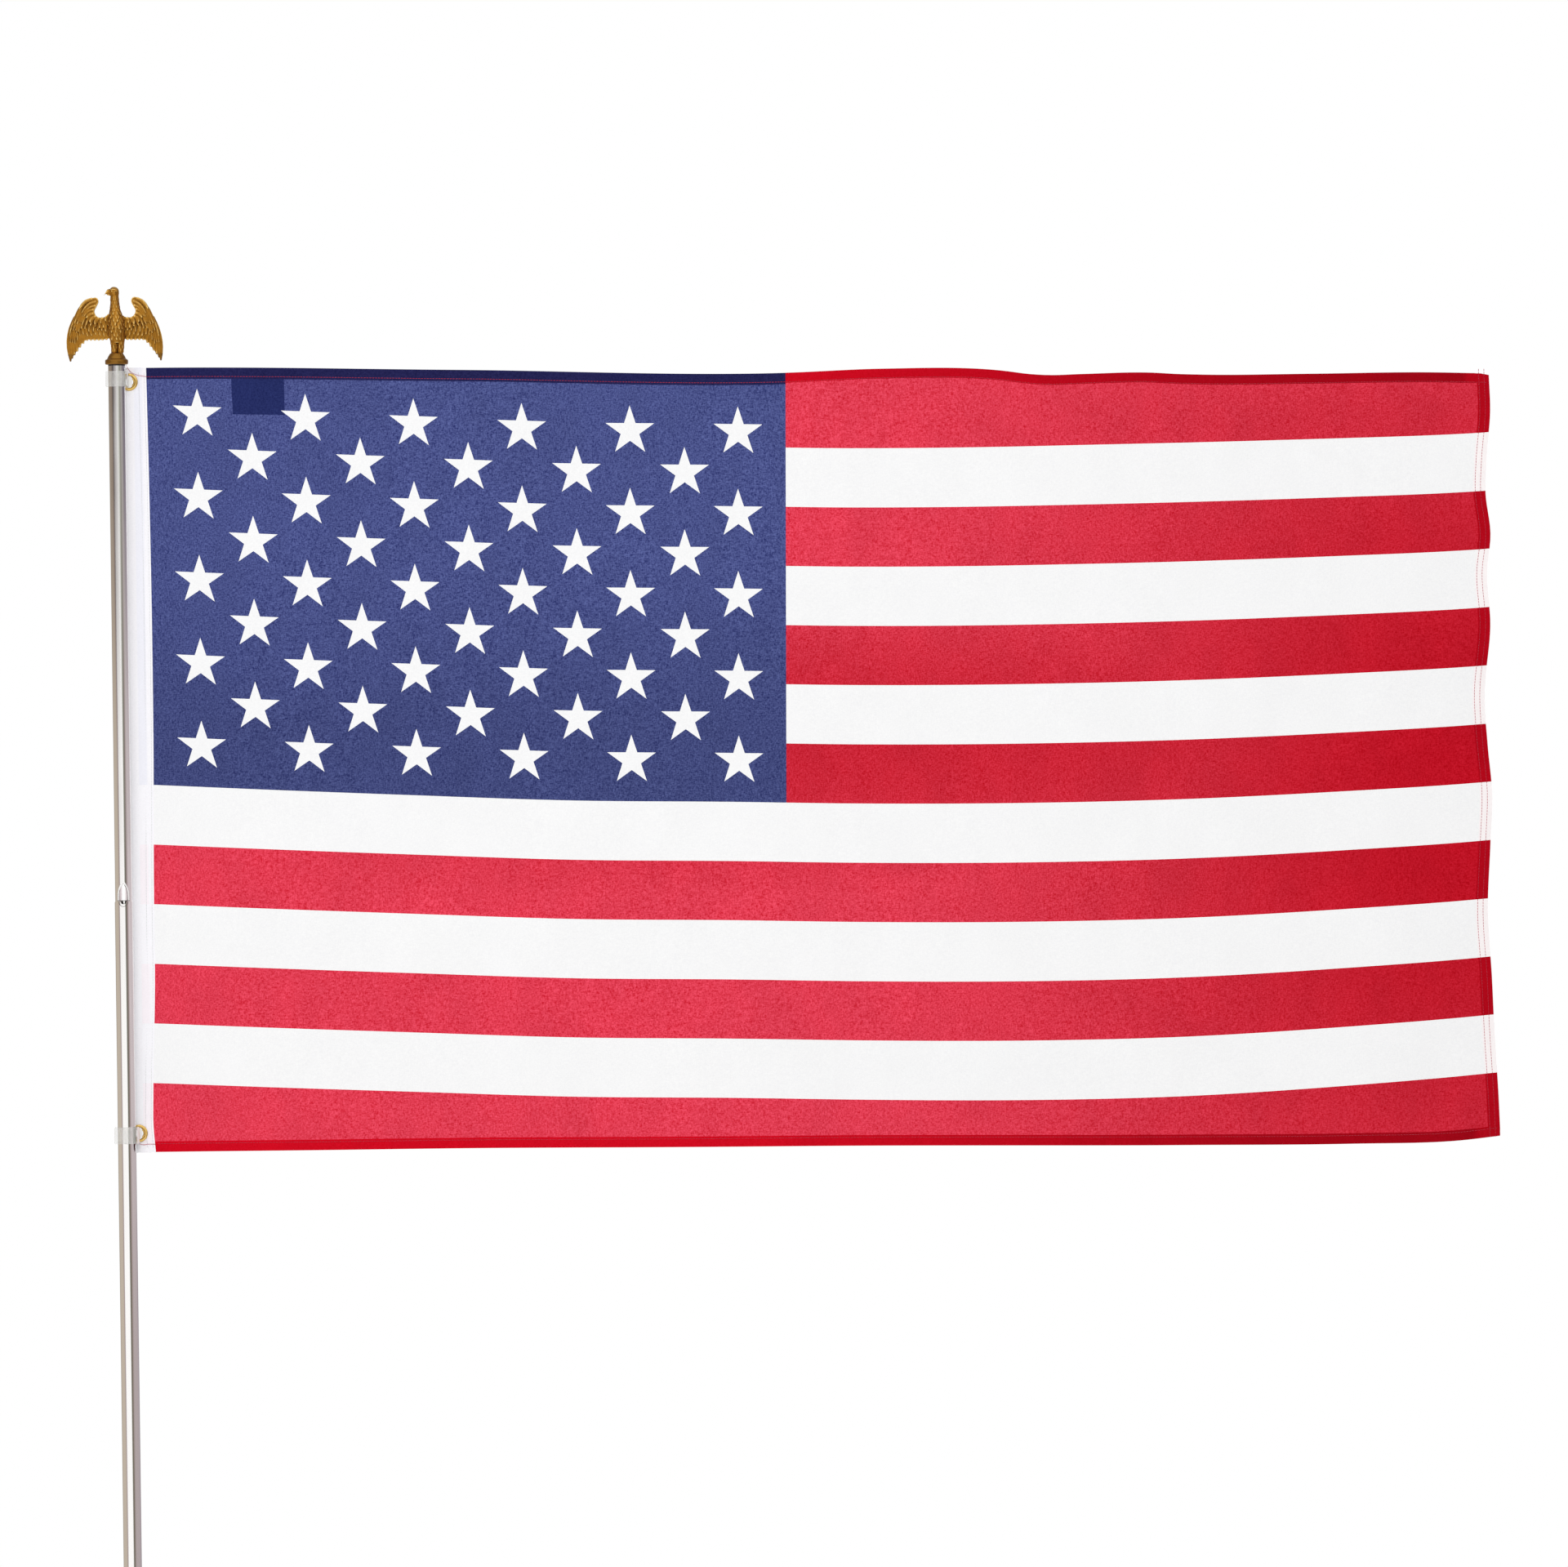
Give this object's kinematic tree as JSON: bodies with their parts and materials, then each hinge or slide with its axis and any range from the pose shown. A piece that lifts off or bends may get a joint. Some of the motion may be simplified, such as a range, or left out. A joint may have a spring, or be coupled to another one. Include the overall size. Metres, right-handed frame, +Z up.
{
  "type": "flag pole stand",
  "caption": "Round weighted floor stand with a telescoping metal pole, an eagle finial and a striped, starred flag that turns about the pole on clip rings.",
  "frame": {"origin": "the pole's axis at the underside of the stand's rubber pad", "axes": "+Z up along the pole; +X from the pole towards the flag's fly edge; the flag's shown face looks along -Y"},
  "size_m": [1.677, 0.3, 1.9277],
  "materials": {
    "pole_metal": "drawn and polished aluminium tube",
    "spun_cover": "spun aluminium, fine lathe lines",
    "bright_steel": "bright turned steel",
    "spring_steel": "polished spring steel",
    "cast_iron": "black painted casting",
    "black_rubber": "matt",
    "black_plastic": "moulded, fine grain",
    "clear_plastic": "clear moulded",
    "antique_gold": "antique gold with dark recesses",
    "brass": "polished",
    "flag_cloth": "printed poly-cotton plain weave",
    "heading_canvas": "white canvas heading",
    "label_cloth": "woven label, blank"
  },
  "bodies": {
    "stand": {"base_pad": "black_rubber", "base_weight": "cast_iron", "base_cover": "spun_cover", "socket_tube": "bright_steel", "socket_washer": "bright_steel", "socket_nut": "bright_steel", "rest_pad": "black_rubber", "socket_collar": "bright_steel"},
    "clamp": {"clamp_screw": "bright_steel"},
    "lower_pole": {"lower_tube": "pole_metal", "pole_end_cap": "black_plastic"},
    "upper_pole": {"upper_tube": "pole_metal", "glide_plug": "black_plastic", "catch_spring": "spring_steel"},
    "catch": {"catch_tongue": "spring_steel"},
    "finial": {"eagle_finial": "antique_gold", "finial_plug": "black_plastic", "finial_screw": "bright_steel"},
    "flag": {"flag_heading": "heading_canvas", "flag_field": "flag_cloth", "care_label": "label_cloth", "upper_grommet": "brass", "upper_washer": "brass", "lower_grommet": "brass", "lower_washer": "brass", "upper_clip": "clear_plastic", "lower_clip": "clear_plastic"}
  },
  "joints": [
    {"name": "clamp_turn_out", "type": "slide", "parent": "stand", "child": "clamp", "axis": [-1, 0, 0], "range_m": [0, 0.008]},
    {"name": "pole_lift", "type": "slide", "parent": "stand", "child": "lower_pole", "axis": [0, 0, 1], "range_m": [0, 0.12]},
    {"name": "telescope", "type": "slide", "parent": "lower_pole", "child": "upper_pole", "axis": [0, 0, 1], "range_m": [-0.565, 0], "deforming": ["catch_tongue"]},
    {"name": "catch_press", "type": "hinge", "parent": "upper_pole", "child": "catch", "pos_m": [0, -0.00953, 1.2638], "axis": [1, 0, 0], "range_deg": [0, 7], "stiffness_Nm_per_rad": 0.05, "deforming": ["catch_spring"]},
    {"name": "finial_lift", "type": "slide", "parent": "upper_pole", "child": "finial", "axis": [0, 0, 1], "range_m": [0, 0.035]},
    {"name": "flag_swing", "type": "hinge", "parent": "upper_pole", "child": "flag", "pos_m": [0, 0, 1.4], "axis": [0, 0, 1], "continuous": true}
  ]
}
